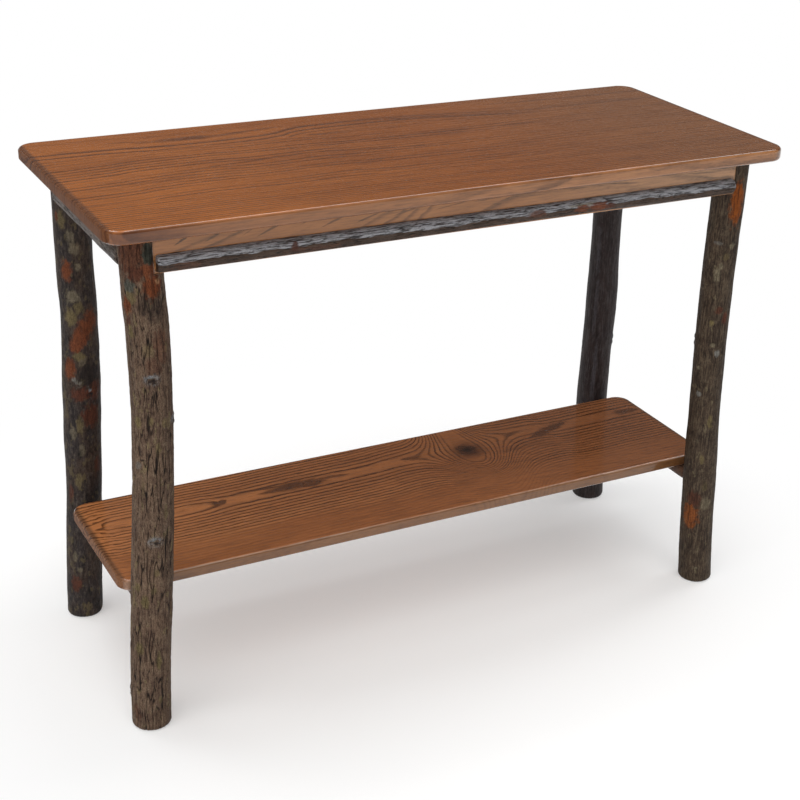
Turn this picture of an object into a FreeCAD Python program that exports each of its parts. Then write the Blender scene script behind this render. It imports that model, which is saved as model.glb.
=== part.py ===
# Rustic hickory table: an oak top and an oak shelf on four pole legs with the bark left on
import FreeCAD
import Part
import math
import os

# Lengths are in millimetres. X runs along the table, Y from front to back and Z up.
# The origin lies on the floor under the middle of the top.

# Whole table
table_length = 1066.8
table_depth = 441.0
table_height = 768.0

# Oak top, glued up from boards that run along the table
top_thickness = 19.5
top_corner_radius = 28.0
top_edge_radius = 5.0
top_board_count = 4
end_overhang = 43.4
side_overhang = 36.5

# Oak shelf, one wide board passing between the front and the back legs, smaller than the top
shelf_end_inset = 19.4
shelf_side_inset = 92.5
shelf_thickness = 18.5
shelf_top_height = 216.0
shelf_corner_radius = 25.0
shelf_edge_radius = 4.5

# Pole legs: how far their tops stand inside the apron faces and their feet outside their tops
pole_diameter = 54.0
leg_inside_short_face = 16.0
leg_inside_long_face = 23.0
foot_splay_length = 14.0
foot_splay_depth = 7.0
foot_edge_radius = 6.0
knot_ball_radius = 17.0
knot_rise = 1.6

# Each leg is drawn through rings at these shares of its height
leg_ring_shares = (0.0, 0.13, 0.27, 0.4, 0.53, 0.67, 0.8, 0.92, 1.0)

# Ring sizes as shares of the pole diameter, from the foot up
front_left_girth_shares = (1.04, 1.04, 1.08, 1.06, 1.03, 1.02, 1.05, 1.04, 1.03)
back_left_girth_shares = (1.04, 1.03, 1.01, 1.04, 1.07, 1.01, 1.01, 0.99, 0.99)
back_right_girth_shares = (1.05, 1.04, 1.02, 0.98, 1.01, 0.94, 0.94, 0.94, 0.94)
front_right_girth_shares = (1.04, 1.01, 1.01, 0.95, 0.93, 0.94, 0.95, 0.96, 0.96)

# How far each ring stands outwards of the straight line from foot to top, in pole diameters
front_left_bow_shares = (0.06, 0.04, -0.04, -0.12, -0.18, -0.2, -0.16, -0.05, 0.0)
back_left_bow_shares = (0.04, 0.0, -0.08, -0.11, -0.14, -0.16, -0.1, -0.06, -0.02)
back_right_bow_shares = (-0.09, -0.13, -0.18, -0.12, -0.05, -0.04, -0.03, 0.0, 0.02)
front_right_bow_shares = (-0.03, -0.12, -0.17, -0.2, -0.2, -0.17, -0.11, -0.02, 0.02)

# Knots: share of the leg height, and share of a full turn anticlockwise from +X
front_left_knot_shares = ((0.076, 0.44), (0.412, 0.719), (0.645, 0.93), (0.733, 0.714))
back_left_knot_shares = ((0.27, 0.2), (0.528, 0.787))
back_right_knot_shares = ((0.43, 0.9), (0.71, 0.12))
front_right_knot_shares = ((0.2, 0.1), (0.59, 0.39))

# Oak aprons, let into the outer sides of the legs
apron_height = 55.0
apron_thickness = 19.0
apron_edge_radius = 1.0
long_apron_end_inset = 25.5
short_apron_end_inset = 32.0

# Split saplings with the bark on, fixed along the lower half of each apron
trim_diameter = 24.6
trim_end_setback = 4.5
trim_above_apron_bottom = 1.4
trim_ring_shares = (-0.5, -0.38, -0.25, -0.12, 0.0, 0.14, 0.28, 0.4, 0.5)
long_trim_girth_shares = (1.0, 1.02, 0.99, 1.01, 0.97, 0.93, 0.95, 1.0, 0.98)
short_trim_girth_shares = (0.98, 1.0, 1.02, 1.0, 0.99, 1.01, 0.98, 1.0, 1.0)

# Round rails from front leg to back leg, carrying the shelf on a planed flat
rail_diameter = 26.0
rail_flat_depth = 1.5
rail_flat_beyond_shelf = 2.0
rail_shoulder_length = 9.0
rail_ring_shares = (-0.5, -0.3, -0.1, 0.1, 0.3, 0.5)
rail_girth_shares = (1.0, 1.03, 0.99, 1.02, 0.98, 1.0)
tenon_diameter = 19.0
tenon_depth = 29.0
tenon_clearance = 0.1
mortise_spare_depth = 0.6

# Cleats inside the aprons, which the top is screwed to
cleat_size = 18.0
long_cleat_end_inset = 30.5
short_cleat_end_inset = 27.0

# Pan-head wood screws with a square drive
screw_length = 30.0
screw_diameter = 4.0
screw_tip_length = 4.0
screw_head_diameter = 8.0
screw_head_height = 2.6
screw_head_rounding = 1.4
screw_drive_width = 2.6
screw_drive_depth = 1.6
screw_clearance = 0.1
counterbore_diameter = 10.0
counterbore_length = 24.0
leg_wood_under_head = 16.0
leg_screw_from_shoulder = 7.5
rail_counterbore_depth = 6.0

# Where the screws sit, as shares of the piece they go through
long_apron_screw_height_shares = (0.32, 0.76)
short_apron_screw_height_shares = (0.1, 0.54)
long_cleat_side_screw_shares = (-0.42, -0.14, 0.14, 0.42)
long_cleat_top_screw_shares = (-0.35, -0.07, 0.07, 0.35)
short_cleat_side_screw_shares = (-0.36, 0.36)
short_cleat_top_screw_shares = (-0.15, 0.15)
shelf_screw_shares = (-0.36, -0.13, 0.13, 0.36)

# Brads that hold the trims
brad_diameter = 1.6
brad_length = 23.0
brad_clearance = 0.05
brad_inset_share = 0.9
long_trim_brad_shares = (-0.46, -0.28, -0.1, 0.1, 0.28, 0.46)
short_trim_brad_shares = (-0.34, 0.34)

# Cuts run this far past the faces they open
overrun = 40.0

# Levels, lengths and half sizes that follow from the sizes above
top_bottom_height = table_height - top_thickness
apron_bottom_height = top_bottom_height - apron_height
shelf_bottom_height = shelf_top_height - shelf_thickness
trim_radius = trim_diameter / 2
trim_height = apron_bottom_height + trim_above_apron_bottom + trim_radius
shelf_length = table_length - 2 * shelf_end_inset
shelf_depth = table_depth - 2 * shelf_side_inset
long_apron_face = table_depth / 2 - side_overhang
short_apron_face = table_length / 2 - end_overhang
long_apron_back = long_apron_face - apron_thickness
short_apron_back = short_apron_face - apron_thickness
long_apron_length = 2 * (short_apron_face - long_apron_end_inset)
short_apron_length = 2 * (long_apron_face - short_apron_end_inset)
long_cleat_length = long_apron_length - 2 * long_cleat_end_inset
short_cleat_length = short_apron_length - 2 * short_cleat_end_inset
leg_tops_apart_length = 2 * (short_apron_face - leg_inside_short_face)
leg_tops_apart_depth = 2 * (long_apron_face - leg_inside_long_face)
feet_apart_length = leg_tops_apart_length + 2 * foot_splay_length
feet_apart_depth = leg_tops_apart_depth + 2 * foot_splay_depth
rail_radius = rail_diameter / 2
rail_height = shelf_bottom_height - rail_radius + rail_flat_depth

x_axis = FreeCAD.Vector(1, 0, 0)
y_axis = FreeCAD.Vector(0, 1, 0)
z_axis = FreeCAD.Vector(0, 0, 1)

# Legs by name: side along X, side along Y, girths, bows and knots
legs = {
    "leg_front_left": (-1, -1, front_left_girth_shares, front_left_bow_shares,
                       front_left_knot_shares),
    "leg_back_left": (-1, 1, back_left_girth_shares, back_left_bow_shares,
                      back_left_knot_shares),
    "leg_back_right": (1, 1, back_right_girth_shares, back_right_bow_shares,
                       back_right_knot_shares),
    "leg_front_right": (1, -1, front_right_girth_shares, front_right_bow_shares,
                        front_right_knot_shares),
}


# A box between two opposite corners, given in any order
def box_between(corner, opposite):
    low = FreeCAD.Vector(min(corner[0], opposite[0]), min(corner[1], opposite[1]),
                         min(corner[2], opposite[2]))
    high = FreeCAD.Vector(max(corner[0], opposite[0]), max(corner[1], opposite[1]),
                          max(corner[2], opposite[2]))
    size = high - low
    return Part.makeBox(size.x, size.y, size.z, low)


# A flat board with rounded corners and rounded upper and lower edges
def rounded_slab(length, depth, thickness, top_height, corner_radius, edge_radius):
    corner = FreeCAD.Vector(-length / 2, -depth / 2, top_height - thickness)
    slab = Part.makeBox(length, depth, thickness, corner)
    upright_edges = [edge for edge in slab.Edges if edge.BoundBox.ZLength > thickness / 2]
    slab = slab.makeFillet(corner_radius, upright_edges)
    outline_edges = [edge for edge in slab.Edges if edge.BoundBox.ZLength < thickness / 2]
    return slab.makeFillet(edge_radius, outline_edges)


# The slab parted into equal boards along its length, from the front to the back
def boards_of(slab, depth, count):
    reach = slab.BoundBox
    width = depth / count
    boards = []
    for index in range(count):
        front = -depth / 2 + index * width
        strip = box_between((reach.XMin - overrun, front, reach.ZMin - overrun),
                            (reach.XMax + overrun, front + width, reach.ZMax + overrun))
        boards.append(slab.common(strip).Solids[0])
    return boards


# A natural pole drawn through rings square to its direction
def pole_through(centres, radii, direction):
    rings = []
    for centre, radius in zip(centres, radii):
        rings.append(Part.Wire(Part.Edge(Part.Circle(centre, direction, radius))))
    return Part.makeLoft(rings, True)


# The value at one share of a row of values, on straight lines between them
def value_at(shares, values, share):
    for index in range(len(shares) - 1):
        if share <= shares[index + 1]:
            part_way = (share - shares[index]) / (shares[index + 1] - shares[index])
            return values[index] + part_way * (values[index + 1] - values[index])
    return values[-1]


# The centre of a leg at a share of its height
def leg_centre(name, share):
    side_x, side_y, girths, bows, knots = legs[name]
    straight_x = feet_apart_length + share * (leg_tops_apart_length - feet_apart_length)
    straight_y = feet_apart_depth + share * (leg_tops_apart_depth - feet_apart_depth)
    bow = pole_diameter * value_at(leg_ring_shares, bows, share)
    return FreeCAD.Vector(side_x * (straight_x / 2 + bow), side_y * straight_y / 2,
                          share * top_bottom_height)


# The radius of a leg at a share of its height
def leg_radius(name, share):
    return value_at(leg_ring_shares, legs[name][2], share) * pole_diameter / 2


# A low round swelling on a leg
def knot_on(name, share, turn_share):
    angle = turn_share * 2 * math.pi
    outwards = FreeCAD.Vector(math.cos(angle), math.sin(angle), 0)
    distance = leg_radius(name, share) + knot_rise - knot_ball_radius
    return Part.makeSphere(knot_ball_radius, leg_centre(name, share) + outwards * distance)


# The whole pole of a leg before any joint is cut
def leg_pole(name):
    centres = [leg_centre(name, share) for share in leg_ring_shares]
    radii = [leg_radius(name, share) for share in leg_ring_shares]
    pole = pole_through(centres, radii, z_axis)
    foot_edges = [edge for edge in pole.Edges if edge.BoundBox.ZMax < foot_edge_radius]
    pole = pole.makeFillet(foot_edge_radius, foot_edges)
    for share, turn_share in legs[name][4]:
        pole = pole.fuse(knot_on(name, share, turn_share))
    return pole


# The two notches at the top of a leg, one for each apron that meets it
def leg_notches(name):
    side_x, side_y = legs[name][:2]
    inner_x = side_x * (short_apron_face - pole_diameter - overrun)
    outer_x = side_x * (short_apron_face + overrun)
    inner_y = side_y * (long_apron_face - pole_diameter - overrun)
    outer_y = side_y * (long_apron_face + overrun)
    above = top_bottom_height + overrun
    long_notch = box_between((side_x * long_apron_length / 2, side_y * long_apron_back,
                              apron_bottom_height), (inner_x, outer_y, above))
    short_notch = box_between((side_x * short_apron_back, side_y * short_apron_length / 2,
                               apron_bottom_height), (outer_x, inner_y, above))
    return [long_notch, short_notch]


# The names of the front and the back leg on one side
def legs_on_side(side_x):
    return ("leg_front_left", "leg_back_left") if side_x < 0 else ("leg_front_right",
                                                                   "leg_back_right")


# Where the rail of one side meets the middle of each of its two legs
def rail_ends(side_x):
    share = rail_height / top_bottom_height
    front, back = [leg_centre(name, share) for name in legs_on_side(side_x)]
    middle_x = (front.x + back.x) / 2
    return FreeCAD.Vector(middle_x, front.y, rail_height), FreeCAD.Vector(middle_x, back.y,
                                                                          rail_height)


# How far the inner surface of a leg stands from its centre, along the rail
def rail_leg_radius(name):
    return leg_radius(name, rail_height / top_bottom_height)


# The round blind hole in a leg for the tenon of its rail
def mortise_in(name):
    side_x, side_y = legs[name][:2]
    front_end, back_end = rail_ends(side_x)
    leg_point = front_end if side_y < 0 else back_end
    inwards = y_axis * -side_y
    bottom = leg_point + inwards * (rail_leg_radius(name) - tenon_depth - mortise_spare_depth)
    length = tenon_depth + mortise_spare_depth + overrun
    return Part.makeCylinder(tenon_diameter / 2 + tenon_clearance, length, bottom, inwards)


# One end of a rail: the tapered shoulder and the tenon, pointing at the leg
def rail_end_piece(surface_point, towards_leg):
    shoulder = Part.makeCone(rail_radius, tenon_diameter / 2, rail_shoulder_length,
                             surface_point - towards_leg * rail_shoulder_length, towards_leg)
    tenon = Part.makeCylinder(tenon_diameter / 2, tenon_depth, surface_point, towards_leg)
    return shoulder.fuse(tenon)


# A bark-covered rail between two legs with a flat on top for the shelf
def rail(side_x):
    front_name, back_name = legs_on_side(side_x)
    front_leg, back_leg = rail_ends(side_x)
    front_surface = front_leg + y_axis * rail_leg_radius(front_name)
    back_surface = back_leg - y_axis * rail_leg_radius(back_name)
    middle = (front_surface + back_surface) / 2
    body_length = back_surface.y - front_surface.y - 2 * rail_shoulder_length
    centres = [middle + y_axis * (share * body_length) for share in rail_ring_shares]
    radii = [rail_radius * girth for girth in rail_girth_shares]
    body = pole_through(centres, radii, y_axis)
    body = body.fuse(rail_end_piece(front_surface, -y_axis))
    body = body.fuse(rail_end_piece(back_surface, y_axis))
    flat_end = shelf_depth / 2 + rail_flat_beyond_shelf
    above_flat = box_between((middle.x - rail_diameter, -flat_end, shelf_bottom_height),
                             (middle.x + rail_diameter, flat_end, shelf_top_height))
    return body.cut(above_flat)


# An apron board with its outer and inner lower edges eased
def apron(low_corner, high_corner):
    board = box_between(low_corner, high_corner)
    half_height = (low_corner[2] + high_corner[2]) / 2
    run = max(board.BoundBox.XLength, board.BoundBox.YLength)
    lower_edges = [edge for edge in board.Edges
                   if edge.BoundBox.ZMax < half_height and edge.Length > run / 2]
    return board.makeFillet(apron_edge_radius, lower_edges)


# The front or back apron
def long_apron(side_y):
    return apron((-long_apron_length / 2, side_y * long_apron_face, apron_bottom_height),
                 (long_apron_length / 2, side_y * long_apron_back, top_bottom_height))


# The left or right apron
def short_apron(side_x):
    return apron((side_x * short_apron_face, -short_apron_length / 2, apron_bottom_height),
                 (side_x * short_apron_back, short_apron_length / 2, top_bottom_height))


# A sapling along one direction, split down the middle so that its flat lies on an apron
def trim(face_middle, along, outwards, length, girths):
    centres = [face_middle + along * (share * length) for share in trim_ring_shares]
    radii = [trim_radius * girth for girth in girths]
    sapling = pole_through(centres, radii, along)
    reach = along * (length / 2 + overrun) + z_axis * trim_diameter
    behind = box_between(face_middle - reach, face_middle + reach - outwards * overrun)
    return sapling.cut(behind)


# The trim on the front or back apron
def long_trim(side_y):
    middle = FreeCAD.Vector(0, side_y * long_apron_face, trim_height)
    length = long_apron_length - 2 * trim_end_setback
    return trim(middle, x_axis, y_axis * side_y, length, long_trim_girth_shares)


# The trim on the left or right apron
def short_trim(side_x):
    middle = FreeCAD.Vector(side_x * short_apron_face, 0, trim_height)
    length = short_apron_length - 2 * trim_end_setback
    return trim(middle, y_axis, x_axis * side_x, length, short_trim_girth_shares)


# The cleat behind the front or back apron
def long_cleat(side_y):
    return box_between((-long_cleat_length / 2, side_y * long_apron_back, top_bottom_height),
                       (long_cleat_length / 2, side_y * (long_apron_back - cleat_size),
                        top_bottom_height - cleat_size))


# The cleat behind the left or right apron
def short_cleat(side_x):
    return box_between((side_x * short_apron_back, -short_cleat_length / 2, top_bottom_height),
                       (side_x * (short_apron_back - cleat_size), short_cleat_length / 2,
                        top_bottom_height - cleat_size))


# A pan-head screw whose head seats at a point and whose shank goes in along a direction
def screw(seat, inwards):
    straight = screw_length - screw_tip_length
    radius = screw_diameter / 2
    shank = Part.makeCylinder(radius, straight, seat, inwards)
    tip = Part.makeCone(radius, 0, screw_tip_length, seat + inwards * straight, inwards)
    head = Part.makeCylinder(screw_head_diameter / 2, screw_head_height, seat, -inwards)
    crown = seat - inwards * screw_head_height
    crown_edges = [edge for edge in head.Edges
                   if edge.BoundBox.Center.distanceToPoint(crown) < screw_head_height / 2]
    head = head.makeFillet(screw_head_rounding, crown_edges)
    sideways = y_axis if abs(inwards.x) > 0 or abs(inwards.z) > 0 else x_axis
    other = inwards.cross(sideways)
    half = (sideways + other) * (screw_drive_width / 2)
    drive = box_between(crown - half - inwards * overrun,
                        crown + half + inwards * screw_drive_depth)
    return shank.fuse(tip).fuse(head).cut(drive)


# The hole that a screw needs in the wood, with a wide mouth for its head
def screw_hole(seat, inwards):
    bore = Part.makeCylinder(screw_diameter / 2 + screw_clearance,
                             screw_length + screw_clearance, seat, inwards)
    mouth = Part.makeCylinder(counterbore_diameter / 2, counterbore_length, seat, -inwards)
    return bore.fuse(mouth)


# Seats and directions of the screws that hold each leg to its two aprons
def leg_screw_places(name):
    side_x, side_y = legs[name][:2]
    places = []
    for share in long_apron_screw_height_shares:
        seat = FreeCAD.Vector(side_x * (long_apron_length / 2 - leg_screw_from_shoulder),
                              side_y * (long_apron_back - leg_wood_under_head),
                              apron_bottom_height + share * apron_height)
        places.append((seat, y_axis * side_y))
    for share in short_apron_screw_height_shares:
        seat = FreeCAD.Vector(side_x * (short_apron_back - leg_wood_under_head),
                              side_y * (short_apron_length / 2 - leg_screw_from_shoulder),
                              apron_bottom_height + share * apron_height)
        places.append((seat, x_axis * side_x))
    return places


# Seats and directions of the screws from the cleats into the aprons
def cleat_screw_places():
    height = top_bottom_height - cleat_size / 2
    places = []
    for side in (-1, 1):
        for share in long_cleat_side_screw_shares:
            seat = FreeCAD.Vector(share * long_cleat_length,
                                  side * (long_apron_back - cleat_size), height)
            places.append((seat, y_axis * side))
        for share in short_cleat_side_screw_shares:
            seat = FreeCAD.Vector(side * (short_apron_back - cleat_size),
                                  share * short_cleat_length, height)
            places.append((seat, x_axis * side))
    return places


# Seats of the screws that go up through the cleats into the top
def top_screw_places():
    height = top_bottom_height - cleat_size
    places = []
    for side in (-1, 1):
        for share in long_cleat_top_screw_shares:
            seat = FreeCAD.Vector(share * long_cleat_length,
                                  side * (long_apron_back - cleat_size / 2), height)
            places.append((seat, z_axis))
        for share in short_cleat_top_screw_shares:
            seat = FreeCAD.Vector(side * (short_apron_back - cleat_size / 2),
                                  share * short_cleat_length, height)
            places.append((seat, z_axis))
    return places


# Seats of the screws that go up through one rail into the shelf
def shelf_screw_places(side_x):
    middle_x = rail_ends(side_x)[0].x
    height = rail_height - rail_radius + rail_counterbore_depth
    return [(FreeCAD.Vector(middle_x, share * shelf_depth, height), z_axis)
            for share in shelf_screw_shares]


# Starting points and directions of the brads through the trims
def brad_places():
    inset = trim_radius * brad_inset_share
    places = []
    for side in (-1, 1):
        for share in long_trim_brad_shares:
            start = FreeCAD.Vector(share * long_apron_length,
                                   side * (long_apron_face + inset), trim_height)
            places.append((start, y_axis * -side))
        for share in short_trim_brad_shares:
            start = FreeCAD.Vector(side * (short_apron_face + inset),
                                   share * short_apron_length, trim_height)
            places.append((start, x_axis * -side))
    return places


# A headless brad
def brad(start, inwards):
    return Part.makeCylinder(brad_diameter / 2, brad_length, start, inwards)


# The hole that a brad leaves in the trim and the apron
def brad_hole(start, inwards):
    return Part.makeCylinder(brad_diameter / 2 + brad_clearance,
                             brad_length + trim_diameter, start - inwards * trim_diameter,
                             inwards)


# A piece with every hole that reaches it cut out
def drilled(piece, holes):
    for hole in holes:
        if piece.BoundBox.intersect(hole.BoundBox):
            piece = piece.cut(hole)
    return piece


# Several equal small pieces kept as separate solids in one file
def group_of(make, places):
    return Part.makeCompound([make(point, direction) for point, direction in places])


# Every finished piece by its name
def all_pieces():
    leg_places = [place for name in legs for place in leg_screw_places(name)]
    shelf_places = shelf_screw_places(-1) + shelf_screw_places(1)
    leg_holes = [screw_hole(*place) for place in leg_places]
    cleat_holes = [screw_hole(*place) for place in cleat_screw_places()]
    top_holes = [screw_hole(*place) for place in top_screw_places()]
    shelf_holes = [screw_hole(*place) for place in shelf_places]
    brad_holes = [brad_hole(*place) for place in brad_places()]
    pieces = {}

    top = rounded_slab(table_length, table_depth, top_thickness, table_height,
                       top_corner_radius, top_edge_radius)
    for index, board in enumerate(boards_of(top, table_depth, top_board_count)):
        pieces["top_board_%d" % (index + 1)] = drilled(board, top_holes)
    shelf = rounded_slab(shelf_length, shelf_depth, shelf_thickness, shelf_top_height,
                         shelf_corner_radius, shelf_edge_radius)
    pieces["shelf_board"] = drilled(shelf, shelf_holes)

    for name in legs:
        pole = leg_pole(name)
        for notch in leg_notches(name):
            pole = pole.cut(notch)
        pole = pole.cut(mortise_in(name))
        pieces[name] = drilled(pole, [screw_hole(*place) for place in leg_screw_places(name)])

    apron_holes = leg_holes + cleat_holes + brad_holes
    for word, side in (("front", -1), ("back", 1)):
        pieces["apron_" + word] = drilled(long_apron(side), apron_holes)
        pieces["trim_" + word] = drilled(long_trim(side), brad_holes)
        pieces["cleat_" + word] = drilled(long_cleat(side), cleat_holes + top_holes)
    for word, side in (("left", -1), ("right", 1)):
        pieces["apron_" + word] = drilled(short_apron(side), apron_holes)
        pieces["trim_" + word] = drilled(short_trim(side), brad_holes)
        pieces["cleat_" + word] = drilled(short_cleat(side), cleat_holes + top_holes)
        pieces["rail_" + word] = drilled(rail(side), shelf_holes)

    pieces["leg_screws"] = group_of(screw, leg_places)
    pieces["cleat_screws"] = group_of(screw, cleat_screw_places())
    pieces["top_screws"] = group_of(screw, top_screw_places())
    pieces["shelf_screws"] = group_of(screw, shelf_places)
    pieces["trim_brads"] = group_of(brad, brad_places())
    return pieces


os.makedirs("parts", exist_ok=True)
for node, shape in all_pieces().items():
    shape.exportStep("parts/%s.step" % node)
    print(node, len(shape.Solids), shape.isValid(), round(shape.Volume))
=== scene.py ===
# Rustic hickory table: bark-covered legs, an oak top and an oak shelf, dressed around the solids
import math

import bmesh
import bpy
from mathutils import Matrix, Vector, noise


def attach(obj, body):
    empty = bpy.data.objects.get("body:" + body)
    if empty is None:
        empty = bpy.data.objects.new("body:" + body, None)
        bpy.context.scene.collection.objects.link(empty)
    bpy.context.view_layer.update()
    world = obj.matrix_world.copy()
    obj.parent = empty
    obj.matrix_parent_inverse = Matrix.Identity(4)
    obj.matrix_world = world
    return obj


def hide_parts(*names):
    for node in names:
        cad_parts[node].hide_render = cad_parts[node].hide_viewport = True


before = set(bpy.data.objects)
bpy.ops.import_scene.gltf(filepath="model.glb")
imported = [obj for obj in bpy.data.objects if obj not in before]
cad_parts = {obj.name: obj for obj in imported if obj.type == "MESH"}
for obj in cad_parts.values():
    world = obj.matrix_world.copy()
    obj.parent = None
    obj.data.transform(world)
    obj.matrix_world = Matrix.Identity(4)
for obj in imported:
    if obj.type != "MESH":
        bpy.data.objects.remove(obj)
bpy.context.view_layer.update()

# Lengths are in metres. X runs along the table, Y from front to back and Z up.

# Oak top and shelf
top_length = 1.0668
top_depth = 0.441
top_height = 0.768
top_thickness = 0.0195
top_corner_radius = 0.028
top_edge_radius = 0.005
shelf_length = 1.028
shelf_depth = 0.256
shelf_height = 0.216
shelf_thickness = 0.0185
shelf_corner_radius = 0.025
shelf_edge_radius = 0.0045
support_strip = 0.0012
corner_steps = 18
edge_steps = 8
board_sharp_degrees = 40

# Ends of the boards: how square to the length a face is that shows end grain, and how far from
# the end its tone begins and is full
end_grain_from = 0.78
end_tone_reach = 0.012
end_tone_full = 0.005

# Pole legs
pole_diameter = 0.054
feet_apart = (0.976, 0.336)
leg_tops_apart = (0.948, 0.322)
foot_edge_radius = 0.006
foot_steps = 6
leg_ring_shares = (0.0, 0.13, 0.27, 0.4, 0.53, 0.67, 0.8, 0.92, 1.0)
leg_step = 0.0023
leg_sharp_degrees = 55

# Knots on the legs: half sizes, heights of the swelling, pit and rim, and where the rim lies
knot_half_height = 0.0070
knot_half_width = 0.0100
knot_reach = 3
knot_swelling = 0.0016
knot_pit = 0.0024
knot_rim_height = 0.0007
knot_rim_at = 0.85

# Aprons and the notches that hold them
apron_bottom = 0.6935
apron_height = 0.055
long_face = 0.184
long_back = 0.165
short_face = 0.490
short_back = 0.471
long_shoulder = 0.4645
short_shoulder = 0.152

# Half-round trims
trim_diameter = 0.0246
trim_height = apron_bottom + 0.0014 + trim_diameter / 2
trim_ring_shares = (-0.5, -0.38, -0.25, -0.12, 0.0, 0.14, 0.28, 0.4, 0.5)
long_trim_girth_shares = (1.0, 1.02, 0.99, 1.01, 0.97, 0.93, 0.95, 1.0, 0.98)
short_trim_girth_shares = (0.98, 1.0, 1.02, 1.0, 0.99, 1.01, 0.98, 1.0, 1.0)
long_trim_length = 0.920
short_trim_length = 0.295
trim_step = 0.0016
trim_points_across = 48
trim_inset = 0.0004
trim_end_wear = 0.0006
trim_bark_shape = dict(ridge=0.0007, lump=0.0005, spacing=0.0028, run=0.045)
sapling_sharp_degrees = 50

# Trims' pale wear and painted sheen: height of its lower edge, how softly it begins, how it sways
worn_sheen_edge_height = trim_height + 0.0008
worn_sheen_rise = (-0.0004, 0.0012)
worn_sheen_edge_sway = 0.011

# Round rails
rail_diameter = 0.026
rail_ring_shares = (-0.5, -0.3, -0.1, 0.1, 0.3, 0.5)
rail_girth_shares = (1.0, 1.03, 0.99, 1.02, 0.98, 1.0)
rail_step = 0.0016
rail_points_around = 72
rail_shoulder = 0.009
rail_shoulder_shares = (0.25, 0.5, 0.75)
tenon_radius = 0.0095
tenon_depth = 0.029
rail_bark_shape = dict(ridge=0.0004, lump=0.0003, spacing=0.0030, run=0.035)
rail_flat_depth = 0.0015
rail_flat_beyond_shelf = 0.002

# Screws
counterbore_diameter = 0.010
counterbore_length = 0.024
leg_wood_under_head = 0.016
leg_screw_from_shoulder = 0.0075
long_apron_screw_height_shares = (0.32, 0.76)
short_apron_screw_height_shares = (0.1, 0.54)
rail_counterbore_depth = 0.006
shelf_screw_shares = (-0.36, -0.13, 0.13, 0.36)

# How far cutters reach past what they cut, and the heights that follow from the sizes
overrun = 0.04
top_bottom = top_height - top_thickness
shelf_bottom = shelf_height - shelf_thickness
rail_radius = rail_diameter / 2
rail_height = shelf_bottom - rail_radius + rail_flat_depth

# Camera of the photograph
camera_place = (-1.0634, -2.0407, 1.4023)
camera_yaw = math.radians(29.3)
camera_pitch = math.radians(24.451)
camera_roll = math.radians(2.187)
camera_focal_pixels = 1588.1
camera_centre_pixels = 450.0
picture_width_pixels = 800.0
sensor_width = 36.0

# Varnish, and the roughness of oak under it and without it
coat_roughness = 0.1
sealed_roughness = 0.22
bare_roughness = 0.55
oak_specular = 0.1

# How dark a growth ring is from its spring wood to its summer wood
ring_profile = ((0.0, 0.12), (0.07, 0.0), (0.46, 0.03), (0.64, 0.5), (0.76, 0.95), (0.9, 1.0),
                (1.0, 0.12))

# Floor, and how it pales to white with the distance from the table's middle
half_floor = 20.0
pale_from = 0.4
pale_until = 1.05
pale_at_middle = 0.3

# Marks spread ragged to this many times their half size, and fade out between two distances
mark_reach = 1.9
mark_full = 0.6
mark_gone = 1.25

# Colours of the marks on the bark, as seen on the screen from 0 to 1
mark_colours = {
    "orange": (0.43, 0.225, 0.12),
    "amber": (0.52, 0.27, 0.09),
    "brown": (0.37, 0.225, 0.16),
    "rust": (0.32, 0.175, 0.12),
    "olive": (0.42, 0.37, 0.25),
    "pale": (0.48, 0.44, 0.36),
    "grey": (0.32, 0.33, 0.30),
    "moss": (0.22, 0.23, 0.20),
    "dark": (0.14, 0.12, 0.12),
    # sheen_streak is a painted sheen: long pale streaks of light on dark bark
    "sheen_streak": (0.30, 0.29, 0.31),
    "tan": (0.62, 0.45, 0.32),
    "silver": (0.47, 0.46, 0.44),
    "lid": (0.50, 0.515, 0.53),
}


# A colour picked from the screen turned into the light that a shader works with
def light_of(colour):
    return tuple(c / 12.92 if c <= 0.04045 else ((c + 0.055) / 1.055) ** 2.4 for c in colour)


mark_lights = {name: light_of(colour) for name, colour in mark_colours.items()}


# Marks as share of the height, angle, half height, half width, light and strength
def marks_of(*rows):
    return [(height / 1000, turn / 1000 * 2 * math.pi, half_height / 1000, half_width / 1000,
             mark_lights[colour], strength / 100)
            for height, turn, half_height, half_width, colour, strength in rows]


# Marks on the legs: height and turn in thousandths, half height and half width in millimetres,
# colour, and strength in hundredths
front_left_marks = marks_of(
    (965, 625, 34, 24, "brown", 90), (966, 755, 17, 9, "moss", 97), (934, 655, 14, 14, "rust", 93),
    (980, 550, 30, 12, "brown", 80), (907, 775, 20, 14, "orange", 95), (914, 815, 6, 5, "tan", 97),
    (938, 735, 10, 17, "orange", 88), (908, 600, 10, 9, "grey", 90),
    (888, 600, 12, 8, "olive", 80), (871, 562, 13, 8, "orange", 90), (839, 553, 8, 5, "rust", 80),
    (824, 570, 10, 5, "olive", 90), (870, 755, 20, 20, "dark", 50),
    (790, 704, 10, 10, "olive", 45), (317, 582, 7, 5, "olive", 80), (289, 649, 10, 6, "olive", 95),
    (184, 603, 11, 7, "olive", 90), (155, 766, 12, 4, "olive", 90), (349, 733, 6, 4, "olive", 60),
    (311, 713, 5, 5, "olive", 70), (68, 779, 6, 4, "olive", 60), (37, 566, 16, 8, "rust", 60),
    (599, 742, 9, 4, "olive", 60), (647, 804, 7, 5, "olive", 60), (650, 580, 9, 6, "olive", 90),
    (654, 690, 6, 4, "olive", 75), (795, 795, 26, 11, "brown", 55), (760, 730, 14, 12, "rust", 40),
    (565, 576, 6, 5, "silver", 50), (470, 800, 12, 3, "olive", 50), (520, 620, 20, 3, "olive", 35),
    (360, 150, 12, 7, "olive", 80), (620, 250, 20, 12, "rust", 70),
    (800, 80, 15, 10, "orange", 80), (220, 300, 10, 7, "olive", 80), (500, 420, 8, 6, "olive", 70))
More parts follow.
